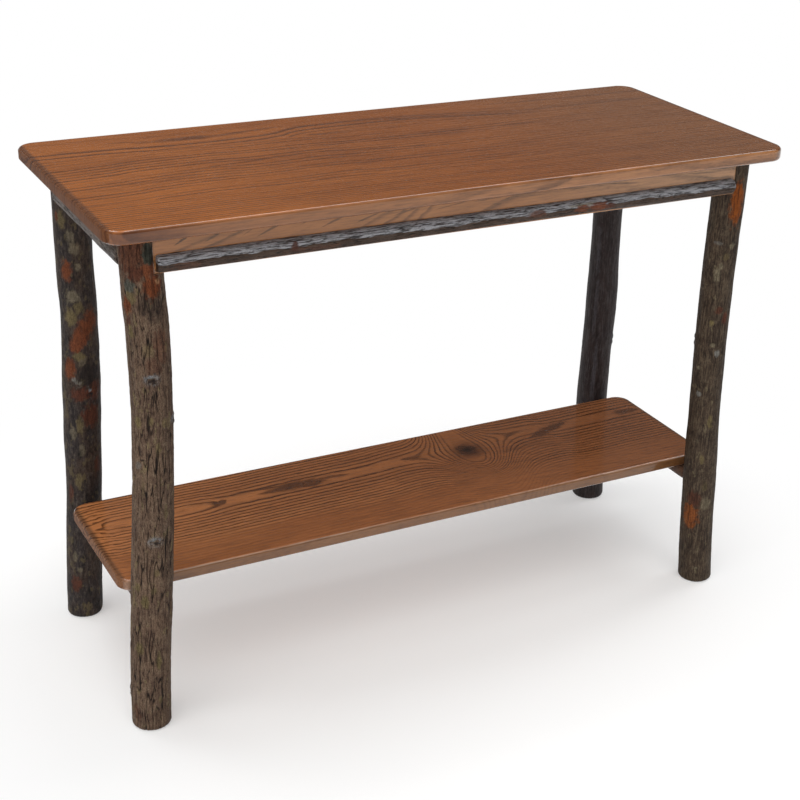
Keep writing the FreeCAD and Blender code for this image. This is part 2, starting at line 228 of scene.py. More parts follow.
back_left_marks = marks_of(
    (899, 565, 8, 4, "orange", 70), (895, 604, 14, 8, "olive", 70), (865, 680, 10, 6, "pale", 50),
    (840, 712, 12, 8, "pale", 60), (800, 730, 6, 6, "pale", 60), (792, 630, 17, 9, "orange", 90),
    (738, 664, 12, 12, "pale", 60), (695, 630, 14, 10, "olive", 80),
    (716, 700, 10, 7, "olive", 70), (684, 810, 18, 12, "orange", 80),
    (668, 760, 18, 14, "orange", 88), (650, 710, 17, 12, "orange", 88),
    (633, 660, 14, 9, "orange", 88), (610, 690, 9, 9, "olive", 80),
    (584, 609, 18, 11, "orange", 90), (600, 720, 10, 7, "pale", 40),
    (570, 770, 17, 18, "dark", 80), (560, 645, 4, 4, "silver", 80), (555, 690, 4, 6, "silver", 50),
    (528, 695, 13, 16, "rust", 95), (533, 830, 16, 11, "rust", 85), (479, 790, 20, 15, "rust", 95),
    (460, 685, 14, 6, "olive", 60), (440, 620, 12, 6, "pale", 50), (360, 840, 16, 6, "rust", 70),
    (300, 575, 16, 6, "rust", 80), (330, 660, 14, 6, "olive", 60), (400, 700, 10, 5, "pale", 40),
    (84, 629, 14, 10, "rust", 95), (150, 620, 8, 5, "pale", 50), (120, 660, 5, 4, "pale", 50),
    (780, 200, 20, 12, "orange", 85), (550, 100, 24, 14, "rust", 85),
    (320, 300, 18, 10, "orange", 80), (200, 50, 12, 8, "olive", 80), (680, 400, 18, 10, "rust", 80))
# The three long bluish streaks on the back right leg are painted sheen
back_right_marks = marks_of(
    (660, 585, 50, 4, "sheen_streak", 50), (520, 600, 60, 4, "sheen_streak", 50), (360, 650, 60, 4, "sheen_streak", 60),
    (840, 400, 20, 12, "rust", 50), (300, 150, 14, 8, "orange", 70),
    (550, 250, 12, 8, "olive", 70), (700, 50, 16, 10, "rust", 70), (160, 300, 12, 8, "olive", 70),
    (440, 0, 10, 8, "pale", 50))
front_right_marks = marks_of(
    (905, 742, 34, 13, "amber", 100), (935, 725, 14, 8, "amber", 95),
    (819, 603, 3, 9, "silver", 55), (813, 751, 6, 5, "pale", 85), (790, 700, 6, 5, "olive", 50),
    (770, 660, 6, 4, "pale", 80), (750, 628, 13, 6, "pale", 85), (652, 771, 11, 6, "rust", 95),
    (670, 690, 7, 7, "rust", 80), (642, 632, 5, 4, "olive", 95), (571, 716, 6, 5, "silver", 95),
    (590, 670, 4, 4, "pale", 85), (534, 542, 4, 4, "pale", 85), (473, 571, 5, 4, "silver", 90),
    (410, 712, 12, 5, "olive", 80), (319, 656, 9, 4, "olive", 80), (360, 600, 4, 2, "pale", 40),
    (206, 728, 12, 10, "pale", 60), (173, 575, 24, 14, "amber", 75),
    (215, 600, 18, 12, "rust", 70), (40, 660, 3, 3, "pale", 60), (250, 700, 10, 5, "olive", 40),
    (620, 150, 20, 12, "orange", 80), (350, 50, 14, 8, "olive", 80),
    (800, 250, 14, 10, "rust", 80), (140, 200, 12, 8, "olive", 70))

# Marks on the split saplings: thousandths of the length from its middle, then as above
front_trim_marks = marks_of(
    (-296, 20, 6, 8, "rust", 90), (-262, -60, 40, 4, "brown", 50), (112, 10, 15, 6, "brown", 85),
    (196, 0, 12, 7, "orange", 85), (228, -10, 16, 8, "orange", 90), (248, -30, 10, 6, "rust", 90),
    (205, 70, 30, 3, "pale", 60), (-460, -50, 20, 6, "brown", 50))
back_trim_marks = marks_of((-180, 0, 20, 8, "rust", 80), (310, -20, 12, 7, "orange", 70))
right_trim_marks = marks_of((100, 0, 14, 7, "rust", 70))

# Legs: sides, shape and colours of the bark, each ring's girth and bow in pole diameters, and
# the knots by shares of the height and of a turn
legs = {
    "leg_front_left": dict(
        side=(-1, -1), seed=3.0, points_around=240, marks=front_left_marks,
        bark=dict(ridge=0.0012, lump=0.0006, spacing=0.0052, run=0.055),
        girth_shares=(1.04, 1.04, 1.08, 1.06, 1.03, 1.02, 1.05, 1.04, 1.03),
        bow_shares=(0.06, 0.04, -0.04, -0.12, -0.18, -0.2, -0.16, -0.05, 0.0),
        knot_shares=((0.076, 0.44), (0.412, 0.719), (0.645, 0.93), (0.733, 0.714)),
        tones=dict(
            base=(0.391, 0.313, 0.257), second=(0.342, 0.269, 0.224), pale=(0.482, 0.414, 0.342),
            crack=(0.085, 0.06, 0.05), lichen=(0.46, 0.408, 0.293), crack_weight=1.0, mottle=0.55,
            streak=0.35, grain=0.6, lichen_from=(0.61, 0.64), lichen_weight=0.5, rough=0.55,
            shine=0.12)),
    "leg_back_left": dict(
        side=(-1, 1), seed=17.0, points_around=150, marks=back_left_marks,
        bark=dict(ridge=0.0004, lump=0.0010, spacing=0.0065, run=0.030),
        girth_shares=(1.04, 1.03, 1.01, 1.04, 1.07, 1.01, 1.01, 0.99, 0.99),
        bow_shares=(0.04, 0.0, -0.08, -0.11, -0.14, -0.16, -0.1, -0.06, -0.02),
        knot_shares=((0.27, 0.2), (0.528, 0.787)),
        tones=dict(
            base=(0.181, 0.158, 0.156), second=(0.243, 0.197, 0.169), pale=(0.305, 0.271, 0.249),
            crack=(0.07, 0.055, 0.05), lichen=(0.327, 0.285, 0.211), crack_weight=0.5, mottle=0.8,
            streak=0.25, grain=0.45, lichen_from=(0.56, 0.66), lichen_weight=0.8, rough=0.5,
            shine=0.14)),
    "leg_back_right": dict(
        side=(1, 1), seed=29.0, points_around=150, marks=back_right_marks,
        bark=dict(ridge=0.0005, lump=0.0005, spacing=0.0040, run=0.070),
        girth_shares=(1.05, 1.04, 1.02, 0.98, 1.01, 0.94, 0.94, 0.94, 0.94),
        bow_shares=(-0.09, -0.13, -0.18, -0.12, -0.05, -0.04, -0.03, 0.0, 0.02),
        knot_shares=((0.43, 0.9), (0.71, 0.12)),
        tones=dict(
            base=(0.193, 0.152, 0.146), second=(0.164, 0.129, 0.129), pale=(0.292, 0.275, 0.28),
            crack=(0.08, 0.065, 0.06), lichen=(0.262, 0.24, 0.218), crack_weight=0.5, mottle=0.35,
            streak=0.55, grain=0.3, lichen_from=(0.66, 0.72), lichen_weight=0.3, rough=0.45,
            shine=0.2)),
    "leg_front_right": dict(
        side=(1, -1), seed=41.0, points_around=170, marks=front_right_marks,
        bark=dict(ridge=0.0006, lump=0.0006, spacing=0.0036, run=0.040),
        girth_shares=(1.04, 1.01, 1.01, 0.95, 0.93, 0.94, 0.95, 0.96, 0.96),
        bow_shares=(-0.03, -0.12, -0.17, -0.2, -0.2, -0.17, -0.11, -0.02, 0.02),
        knot_shares=((0.2, 0.1), (0.59, 0.39)),
        tones=dict(
            base=(0.271, 0.221, 0.178), second=(0.227, 0.183, 0.15), pale=(0.387, 0.338, 0.277),
            crack=(0.085, 0.065, 0.055), lichen=(0.414, 0.373, 0.29), crack_weight=0.6,
            mottle=0.55, streak=0.5, grain=0.45, lichen_from=(0.64, 0.67), lichen_weight=0.6,
            rough=0.5, shine=0.12)),
}


# The value at a share of a row of values, on a smooth curve through them
def value_at(shares, values, share):
    last = len(shares) - 1
    share = min(max(share, shares[0]), shares[last])
    index = 0
    while index < last - 1 and share > shares[index + 1]:
        index += 1
    before, after = max(index - 1, 0), min(index + 2, last)
    span = shares[index + 1] - shares[index]
    start_slope = (values[index + 1] - values[before]) / (shares[index + 1] - shares[before])
    end_slope = (values[after] - values[index]) / (shares[after] - shares[index])
    t = (share - shares[index]) / span
    return ((2 * t ** 3 - 3 * t ** 2 + 1) * values[index]
            + (t ** 3 - 2 * t ** 2 + t) * span * start_slope
            + (3 * t ** 2 - 2 * t ** 3) * values[index + 1]
            + (t ** 3 - t ** 2) * span * end_slope)


# A value that goes from 0 to 1 between two limits
def smooth_step(low, high, value):
    t = min(max((value - low) / (high - low), 0.0), 1.0)
    return t * t * (3 - 2 * t)


# The centre and radius of a leg at a share of its height
def leg_ring(leg, share):
    bow = pole_diameter * value_at(leg_ring_shares, leg["bow_shares"], share)
    across = [feet_apart[i] + share * (leg_tops_apart[i] - feet_apart[i]) for i in (0, 1)]
    centre = Vector((leg["side"][0] * (across[0] / 2 + bow), leg["side"][1] * across[1] / 2,
                     share * top_bottom))
    radius = value_at(leg_ring_shares, leg["girth_shares"], share) * pole_diameter / 2
    return centre, radius


# Smooth noise at a place round a pole, with its own fineness across the pole and along it
def pole_noise(round_place, along, across_scale, along_scale, shift):
    return noise.noise(Vector((round_place.x * across_scale, round_place.y * across_scale,
                               along * along_scale + shift)))


# Height of the bark above its mean surface at a place round a pole, and how open the crack is
def bark_relief(round_place, along, shape, seed):
    warp = 0.5 * pole_noise(round_place, along, 70, 26, seed)
    place = Vector((round_place.x / shape["spacing"] + warp,
                    round_place.y / shape["spacing"] - warp, along / shape["run"] + seed * 7))
    value = noise.noise(place) + 0.28 * noise.noise(place * 2.3)
    open_width = 0.10 * (0.6 + pole_noise(round_place, along, 60, 22, -seed))
    crack = 1 - smooth_step(0.2 * open_width, open_width + 0.02, abs(value))
    fine = pole_noise(round_place, along, 420, 120, seed)
    broad = pole_noise(round_place, along, 40, 24, -seed)
    ridge_share = 0.6 * min(abs(value) * 2.2, 0.7) - 0.75 * crack + 0.3 * fine
    return shape["ridge"] * ridge_share + shape["lump"] * broad, crack


# The angle from one direction to another, the short way round
def turn_between(first, second):
    return (first - second + math.pi) % (2 * math.pi) - math.pi


# Weight and light of the strongest mark at a place on a pole
def mark_at(marks, span, along, angle, radius, seed):
    best_weight, best_light = 0.0, (0.0, 0.0, 0.0)
    for share, turn, half_height, half_width, light, strength in marks:
        up = (along - share * span) / half_height
        if abs(up) > mark_reach:
            continue
        aside = turn_between(angle, turn) * radius / half_width
        if abs(aside) > mark_reach:
            continue
        outward = Vector((math.cos(angle), math.sin(angle)))
        ragged = pole_noise(outward, along, 5, 150, seed)
        ragged += 0.6 * pole_noise(outward, along, 12, 260, seed)
        distance = math.hypot(up, aside) + 0.45 * ragged
        weight = strength * (1 - smooth_step(mark_full, mark_gone, distance))
        if weight > best_weight:
            best_weight, best_light = weight, light
    return best_weight, best_light


# How far the bark swells at the knots, with the weights of a knot's pale lid and dark heart
def knot_at(knots, along, angle, radius):
    rise, lid, heart = 0.0, 0.0, 0.0
    for height_share, turn_share in knots:
        up = (along - height_share * top_bottom) / knot_half_height
        aside = turn_between(angle, turn_share * 2 * math.pi) * radius / knot_half_width
        distance = math.hypot(up, aside)
        if distance >= knot_reach:
            continue
        ragged = noise.noise(Vector((up * 2.1, aside * 2.1, height_share * 90)))
        distance += 0.35 * ragged
        rise += knot_swelling * math.exp(-distance * distance * 0.8)
        rise -= knot_pit * math.exp(-distance * distance * 6)
        rise += knot_rim_height * math.exp(-((distance - knot_rim_at) * 4) ** 2)
        above = smooth_step(-0.1, 0.9, up - 0.35 * aside + 0.6 * ragged)
        rim = math.exp(-((distance - knot_rim_at) * 3.4) ** 2)
        lid = max(lid, (0.2 + 0.7 * above) * rim)
        from_heart = math.hypot(up * 1.6 + 0.3, aside * 0.9) * 1.6 + ragged
        heart = max(heart, math.exp(-from_heart ** 4))
    return rise, lid, heart


# A new object in the scene
def add_object(name, data):
    thing = bpy.data.objects.new(name, data)
    bpy.context.scene.collection.objects.link(thing)
    return thing


# A new object in the scene from a mesh under construction
def add_mesh_object(name, mesh):
    data = bpy.data.meshes.new(name)
    mesh.to_mesh(data)
    mesh.free()
    return add_object(name, data)


# Removes an object and its mesh
def discard(piece):
    data = piece.data
    bpy.data.objects.remove(piece)
    bpy.data.meshes.remove(data)


# A mesh made of rings that are joined into a skin, with its two ends closed
def skin_of_rings(name, rings, closed):
    mesh = bmesh.new()
    rows = [[mesh.verts.new(point) for point in ring] for ring in rings]
    count = len(rows[0])
    last = count if closed else count - 1
    for low, high in zip(rows, rows[1:]):
        for i in range(last):
            j = (i + 1) % count
            mesh.faces.new((low[i], low[j], high[j], high[i]))
    mesh.faces.new(list(reversed(rows[0])))
    mesh.faces.new(rows[-1])
    if not closed:
        for low, high in zip(rows, rows[1:]):
            mesh.faces.new((low[-1], low[0], high[0], high[-1]))
    bmesh.ops.recalc_face_normals(mesh, faces=mesh.faces)
    return add_mesh_object(name, mesh)


# Stores with each point of a piece how open its crack is, and its mark where there are marks
def store_bark(piece, cracks, weights=(), colours=()):
    layers = piece.data.attributes
    layers.new("crack", "FLOAT", "POINT").data.foreach_set("value", cracks)
    if weights:
        layers.new("mark_weight", "FLOAT", "POINT").data.foreach_set("value", weights)
        flat = [c for colour in colours for c in (*colour, 1.0)]
        layers.new("mark_colour", "FLOAT_COLOR", "POINT").data.foreach_set("color", flat)


# A box between two corners as a cutter
def cutter_box(mesh, corner, opposite):
    size = [abs(b - a) for a, b in zip(corner, opposite)]
    middle = [(a + b) / 2 for a, b in zip(corner, opposite)]
    bmesh.ops.create_cube(mesh, size=1, matrix=Matrix.Translation(middle)
                          @ Matrix.Diagonal((*size, 1)))


# A round cutter for a screw's head, from its seat along a direction
def cutter_bore(mesh, seat, direction):
    middle = Vector(seat) + direction * (counterbore_length / 2)
    turn = direction.to_track_quat("Z", "Y").to_matrix().to_4x4()
    bmesh.ops.create_cone(mesh, cap_ends=True, segments=32, radius1=counterbore_diameter / 2,
                          radius2=counterbore_diameter / 2, depth=counterbore_length,
                          matrix=Matrix.Translation(middle) @ turn)


# Cuts boxes and bores out of a piece, and gives the cut faces their own material
def cut_out(piece, cut_material, fill, *details):
    piece.data.materials.append(cut_material)
    mesh = bmesh.new()
    fill(mesh, *details)
    cutter = add_mesh_object("cutter", mesh)
    cutter.data.materials.append(None)
    cutter.data.materials.append(cut_material)
    for polygon in cutter.data.polygons:
        polygon.material_index = 1
    modifier = piece.modifiers.new("cut", "BOOLEAN")
    modifier.operation = "DIFFERENCE"
    modifier.solver = "MANIFOLD"
    modifier.object = cutter
    graph = bpy.context.evaluated_depsgraph_get()
    result = bpy.data.meshes.new_from_object(piece.evaluated_get(graph))
    piece.modifiers.clear()
    old = piece.data
    piece.data = result
    bpy.data.meshes.remove(old)
    discard(cutter)


# Shades a finished piece smoothly but for its sharp corners, and adds it to the table
def add_piece(piece, sharp_degrees, replaced):
    for polygon in piece.data.polygons:
        polygon.use_smooth = True
    piece.data.set_sharp_from_angle(angle=math.radians(sharp_degrees))
    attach(piece, "root")
    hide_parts(replaced)


# A value that flows between the nodes of a material or world, so that sums read as sums
class Value:
    def __init__(self, nodes, socket):
        self.nodes = nodes
        self.socket = socket

    def math(self, operation, *others, **settings):
        return self.nodes.node("Math", (self, *others), operation=operation, **settings)

    def __add__(self, other):
        return self.math("ADD", other)

    def __sub__(self, other):
        return self.math("SUBTRACT", other)

    def __mul__(self, other):
        return self.math("MULTIPLY", other)

    def __truediv__(self, number):
        return self * (1 / number)

    # Brought smoothly from one range into another
    def ranged(self, low, high, to_low=0.0, to_high=1.0):
        return self.nodes.node("MapRange", (self, low, high, to_low, to_high),
                               interpolation_type="SMOOTHSTEP")

    # Read off straight lines between stops, each a place and a level
    def ramp(self, stops):
        ramp = self.nodes.node("ValToRGB", (self,))
        elements = ramp.socket.node.color_ramp.elements
        while len(elements) < len(stops):
            elements.new(0.5)
        for element, (place, level) in zip(elements, stops):
            element.position = place
            element.color = (level, level, level, 1)
        return ramp

    # Read off a smooth curve through points, each a share and a level
    def curve(self, points):
        levels = [level for share, level in points]
        low, span = min(levels), max(levels) - min(levels)
        if span == 0:
            return low
        result = self.nodes.node("FloatCurve", {"Value": self})
        mapping = result.socket.node.mapping
        scaled = [(share, (level - low) / span) for share, level in points]
        mapping.curves[0].points[0].location = scaled[0]
        mapping.curves[0].points[1].location = scaled[-1]
        for point in scaled[1:-1]:
            mapping.curves[0].points.new(*point)
        mapping.update()
        return result * span + low


# Writing the nodes of a material or world in few words. The grain runs along one axis.
class Nodes:
    def __init__(self, owner, axis="x", turned=False, place="Object"):
        owner.use_nodes = True
        self.owner = owner
        self.tree = owner.node_tree
        self.axis = "xyz".index(axis)
        self.place = self.node("TexCoord", output=place)
        self.x, self.y, self.z = self.split(self.place)
        if turned:
            self.x, self.y = self.y, self.x
            self.place = self.node("CombineXYZ", (self.x, self.y, self.z))

    # Links or writes a value to a socket. Colours come as they are seen on the screen.
    def set(self, socket, value):
        if isinstance(value, Value):
            self.tree.links.new(value.socket, socket)
        elif socket.type == "RGBA":
            socket.default_value = (*light_of(value), 1)
        else:
            socket.default_value = value

    # One output of a new node, whose inputs are given in their order or by their keys
    def node(self, kind, inputs=(), output=0, **settings):
        node = self.tree.nodes.new("ShaderNode" + kind)
        for name, setting in settings.items():
            setattr(node, name, setting)
        for key, value in inputs.items() if isinstance(inputs, dict) else enumerate(inputs):
            self.set(node.inputs[key], value)
        return Value(self, node.outputs[output])

    def split(self, vector):
        first = self.node("SeparateXYZ", (vector,))
        return [Value(self, socket) for socket in first.socket.node.outputs]

    # Noise at the piece's own place, by waves per metre along the grain and across it
    def noise(self, along, across, shift, detail=2.0, rough=0.5):
        scales = [across] * 3
        scales[self.axis] = along
        shifts = (shift, shift * 0.7, shift * 1.3)
        place = self.node("VectorMath", (self.place, scales, shifts), operation="MULTIPLY_ADD")
        return self.noise_at(place, detail, rough)

    def noise_at(self, place, detail, rough=0.5):
        return self.node("TexNoise", {"Vector": place, "Scale": 1.0, "Detail": detail,
                                      "Roughness": rough})

    def mix(self, weight, first, second):
        return self.node("Mix", {0: weight, 6: first, 7: second}, 2, data_type="RGBA")

    def stored(self, name, output):
        return self.node("Attribute", output=output, attribute_name=name)

    def bump(self, height, distance):
        return self.node("Bump", {"Distance": distance, "Height": height})

    def ray(self, kind):
        return self.node("LightPath", output="Is %s Ray" % kind)

    def finish(self, colour, roughness, normal, coat=0.0, specular=0.5, metallic=0.0):
        inputs = self.tree.nodes["Principled BSDF"].inputs
        for key, value in (("Base Color", colour), ("Roughness", roughness),
                           ("Normal", normal), ("Coat Weight", coat),
                           ("Coat Roughness", coat_roughness),
                           ("Specular IOR Level", specular), ("Metallic", metallic)):
            self.set(inputs[key], value)
        return self.owner


# Oak from its growth rings: figure gives the lie of the rings, tones their colours
def oak(name, figure, tones, turned=False, sealed=True):
    m = Nodes(bpy.data.materials.new(name), turned=turned)
    seed, ring = figure["seed"], figure["ring"]

    # Distance from the heart of the tree, counted in rings and squeezed round a knot
    share = m.x / figure["length"] + 0.5
    wander = m.noise(2.6, 8.0, seed) - 0.5
    ripple = m.noise(38.0, 85.0, seed + 4, 3.0) - 0.5
    if "ragged_until" in figure:
        ripple *= share.ranged(0.0, figure["ragged_until"], 4.0, 1.0)
    across, depth = (m.z, m.y) if figure["upright"] else (m.y, m.z)
    aside = (across - share.curve(figure["heart"]) + wander * figure["wander"]) / ring
    below = (depth - figure["face"]) * (-0.7 / ring) + share.curve(figure["depth"])
    if "knot" in figure:
        knot_x, knot_y, reach, pull, squeeze, size = figure["knot"]
        off_x, off_y = m.x - knot_x, m.y - knot_y
        swell = (off_x * off_x * (-0.5 / reach ** 2)).math("EXPONENT")
        swell *= off_y.ranged(-0.125, -0.02, 0.25, 1.0)
        aside *= swell * -squeeze + 1.0
        near = ((off_x * off_x + off_y * off_y) / size ** 2).math("SQRT") + ripple * 0.8
    rings = (aside * aside + below * below).math("SQRT") + ripple * figure["ripple"]
    if "knot" in figure:
        rings -= swell * pull

    # Dark bands of summer wood, livelier in some rings and places than in others
    band = rings.math("FRACT").ramp(ring_profile)
    each = m.noise_at(m.node("CombineXYZ", (rings * 0.55, share * 2.2, seed)), 0.0)
    lively = each.ranged(0.36, 0.6, *figure["contrast"])
    if "knot" in figure:
        lively *= swell.ranged(0.86, 0.96, 1.0, 0.12)
    if "calm_from" in figure:
        lively *= share.ranged(figure["calm_from"], 0.85, 1.0, 0.5)
    if "plain_below" in figure:
        lively *= m.y.ranged(*figure["plain_below"], 0.25, 1.0)
    if "plain_above" in figure:
        lively *= m.y.ranged(*figure["plain_above"], 1.0, 0.2)
    band *= lively
    for *lengths, slope, strength in figure.get("flecks", ()):
        along, level, half_length, half_width = (length / 1000 for length in lengths)
        off = m.x - along
        end = off / half_length
        side = ((across - level - off * slope) / half_width).math("ABSOLUTE")
        inside = ripple * 1.2 - end * end - side + 1.0
        band = band.math("MAXIMUM", inside.ranged(0.0, 0.6, 0.0, strength))

    # Colour from slow change, painted reflection, sheen and highlight, and ends, with fibres, bands
    # and pores over it
    pores = m.noise(75.0, 950.0, seed, 2.0, 0.6).ranged(0.52, 0.66)
    fibres = m.noise(20.0, 360.0, seed + 2, 4.0, 0.65)
    cloud = m.noise(4.0, 16.0, seed + 5, 3.0)
    deepened = cloud.ranged(0.3, 0.7, -0.3, 0.3) + share.curve(tones["deepened"])
    if "plain_below" in figure:
        deepened += m.y.ranged(*figure["plain_below"], 0.8, 0.0)
    deepened = deepened.math("MAXIMUM", 0.0).math("MINIMUM", 1.0)
    colour = m.mix(deepened, tones["light"], tones["deep"])
    # Towards the right end the oak takes its reflection tone: a painted reflection, greyer on the
    # top and shelf, paler on the aprons
    if "reflection_tone" in tones:
        colour = m.mix(share.ranged(0.5, 0.95, 0.0, 0.85), colour, tones["reflection_tone"])
    # Faces that look forward take their own tone, changing along the length: painted sheen and
    # shade on the front edges
    if "front" in tones:
        forward = m.split(m.node("TexCoord", output="Normal"))[1] * -1.0
        edge = m.mix(share.curve(front_edge_change), *tones["front"])
        colour = m.mix(forward.ranged(0.55, 0.9, 0.0, 0.9), colour, edge)
    # A painted highlight along the shelf's front arris, broken up here and there
    if "arris_highlight" in tones:
        highlight_breaks = m.noise(9.0, 60.0, seed + 7).ranged(0.35, 0.6, 0.4, 1.0)
        colour = m.mix(forward.ramp(arris_highlight_by_facing) * highlight_breaks, colour, tones["arris_highlight"])
    # Near the ends the end grain's own darker tone, reaching a little onto the faces, where it is
    # partly painted shade over the rounded ends
    if "end" in tones:
        half = figure["length"] / 2
        at_end = m.x.math("ABSOLUTE").ranged(half - end_tone_reach, half - end_tone_full)
        colour = m.mix(at_end, colour, tones["end"])
    colour = m.mix(fibres.ranged(0.42, 0.68, 0.0, tones["fibre"]), colour, tones["dark"])
    colour = m.mix(band * tones["band"], colour, tones["dark"])
    pore_weight = pores * (band * 0.5 + tones["pores"])
    colour = m.mix(pore_weight, colour, tones["pore"])
    if "knot" in figure:
        for edge, core, weight, tone in ((3.0, 1.2, 0.45, "dark"), (1.7, 0.9, 0.7, "dark"),
                                         (0.95, 0.3, 0.75, "pore")):
            colour = m.mix(near.ranged(edge, core, 0.0, weight), colour, tones[tone])
    roughness = fibres * 0.10 + (sealed_roughness if sealed else bare_roughness)
    normal = m.bump(pore_weight * -1.0 - band * 0.25, 0.0001)
    return m.finish(colour, roughness, normal, 1.0 if sealed else 0.0, oak_specular)


# Bark over a pole, coloured by cracks, slow change and the marks stored on the mesh
def bark(name, tones, seed, axis):
    m = Nodes(bpy.data.materials.new(name), axis)
    streaks = m.noise(30.0, 430.0, seed, 3.0, 0.6)
    mottle = m.noise(90.0, 210.0, seed + 3, 4.0, 0.7)
    cloud = m.noise(18.0, 38.0, seed + 6)
    grain = m.noise(420.0, 800.0, seed + 8, 3.0, 0.7)
    spots = m.noise(60.0, 105.0, seed + 21, 3.0, 0.55)
    colour = m.mix(cloud.ranged(0.38, 0.62), tones["base"], tones["second"])
    for weight, tone in (
            (mottle.ranged(0.50, 0.66, 0.0, tones["mottle"]), "pale"),
            (mottle.ranged(0.48, 0.34, 0.0, tones["mottle"]), "crack"),
            (streaks.ranged(0.50, 0.66, 0.0, tones["streak"]), "pale"),
            (spots.ranged(*tones["lichen_from"], 0.0, tones["lichen_weight"]), "lichen")):
        colour = m.mix(weight, colour, tones[tone])
    # Above its middle a trim is paler and greyer: partly worn bark, partly a painted sheen of light
    # from above
    if "worn_sheen" in tones:
        edge = m.noise(26.0, 60.0, seed + 31, 3.0, 0.6) - 0.5
        upper = (m.z - worn_sheen_edge_height + edge * worn_sheen_edge_sway).ranged(*worn_sheen_rise)
        worn_sheen = m.noise(45.0, 560.0, seed + 41, 3.0, 0.6).ranged(0.38, 0.54)
        colour = m.mix(upper, colour, m.mix(worn_sheen, tones["worn_sheen_dark"], tones["worn_sheen"]))
    stain = m.mix(mottle.ranged(0.56, 0.40, 0.0, 0.3), m.stored("mark_colour", "Color"),
                  tones["crack"])
    colour = m.mix(m.stored("mark_weight", "Fac"), colour, stain)
    # The stored cracks are the bark's own dark fissures with painted shade in them; streaks and
    # grain darken at random
    for weight in (m.stored("crack", "Fac") * tones["crack_weight"],
                   streaks.ranged(0.46, 0.32, 0.0, tones["streak"]),
                   grain.ranged(0.55, 0.35, 0.0, tones["grain"])):
        colour = m.mix(weight, colour, tones["crack"])
    normal = m.bump(streaks + grain * 0.35 + mottle * 0.8, 0.0009)
    return m.finish(colour, streaks * 0.2 + tones["rough"], normal, specular=tones["shine"])


# Sawn or turned wood, for notches, tenons and hidden cleats
def plain_wood(name, light, dark, seed, turned=False):
    m = Nodes(bpy.data.materials.new(name), turned=turned)
    fibres = m.noise(60.0, 420.0, seed, 4.0, 0.6)
    cloud = m.noise(25.0, 40.0, seed + 2)
    colour = m.mix(cloud.ranged(0.3, 0.7), light, dark)
    colour = m.mix(fibres.ranged(0.5, 0.75) * 0.5, colour, dark)
    return m.finish(colour, fibres * 0.2 + 0.4, m.bump(fibres, 0.0002))


# Plated steel with faint scratches
def steel(name, colour, seed):
    m = Nodes(bpy.data.materials.new(name), "z")
    scratches = m.noise(2600.0, 900.0, seed, 3.0, 0.6)
    cloud = m.noise(260.0, 260.0, seed + 1)
    tint = m.mix(cloud.ranged(0.3, 0.7), colour, tuple(c * 0.8 for c in colour))
    return m.finish(tint, scratches * 0.25 + 0.25, m.bump(scratches, 0.00004), metallic=1.0)


# The rounded outline of a board, drawn in from its edge by some distance
def outline_of(length, depth, corner_radius, inset, height):
    points = []
    for side_x, side_y, start in ((1, 1, 0), (-1, 1, 1), (-1, -1, 2), (1, -1, 3)):
        middle_x = side_x * (length / 2 - corner_radius)
        middle_y = side_y * (depth / 2 - corner_radius)
        for step in range(corner_steps + 1):
            angle = (start + step / corner_steps) * math.pi / 2
            points.append((middle_x + (corner_radius - inset) * math.cos(angle),
                           middle_y + (corner_radius - inset) * math.sin(angle), height))
    return points


# A slab with rounded corners and edges, built up from its lower face to its upper face
def slab_of(name, length, depth, height, thickness, corner_radius, edge_radius):
    rounding = [(edge_radius + support_strip, 0.0)]
    for step in range(edge_steps + 1):
        angle = step / edge_steps * math.pi / 2
        rounding.append((edge_radius * (1 - math.sin(angle)),
                         edge_radius * (1 - math.cos(angle))))
    levels = [(inset, height - thickness + up) for inset, up in rounding]
    levels += [(inset, height - up) for inset, up in reversed(rounding)]
    rings = [outline_of(length, depth, corner_radius, inset, level) for inset, level in levels]
    return skin_of_rings(name, rings, True)


# The part of a slab between two planes across its depth
def strip_of(slab, front, back, name):
    mesh = bmesh.new()
    mesh.from_mesh(slab.data)
    for edge_y, outward in ((front, -1), (back, 1)):
        if edge_y is None:
            continue
        cut = bmesh.ops.bisect_plane(mesh, geom=mesh.verts[:] + mesh.edges[:] + mesh.faces[:],
                                     plane_co=(0, edge_y, 0), plane_no=(0, outward, 0),
                                     clear_outer=True)
        rim = [e for e in cut["geom_cut"] if isinstance(e, bmesh.types.BMEdge)]
        bmesh.ops.contextual_create(mesh, geom=rim)
    return add_mesh_object(name, mesh)


# Materials shared by several pieces
cut_wood = plain_wood("cut_wood", (0.50, 0.40, 0.31), (0.36, 0.27, 0.20), 5.0)
tenon_wood = plain_wood("tenon_wood", (0.62, 0.48, 0.34), (0.50, 0.37, 0.25), 8.0)
cleat_tones = ((0.66, 0.52, 0.36), (0.54, 0.40, 0.26))
screw_steel = steel("screw_steel", (0.72, 0.66, 0.50), 2.0)
brad_steel = steel("brad_steel", (0.40, 0.39, 0.38), 6.0)

# Colours of the oak, with how much deeper it gets along its length
top_tones = dict(
    light=(0.63, 0.37, 0.165), deep=(0.525, 0.295, 0.12), reflection_tone=(0.48, 0.315, 0.195),
    dark=(0.23, 0.115, 0.06), pore=(0.17, 0.09, 0.05), band=0.8, fibre=0.38, pores=0.14,
    deepened=((0.0, 0.1), (0.25, 0.4), (0.6, 0.95), (1.0, 0.8)),
    front=((0.395, 0.235, 0.145), (0.635, 0.44, 0.285)), end=(0.42, 0.265, 0.165))
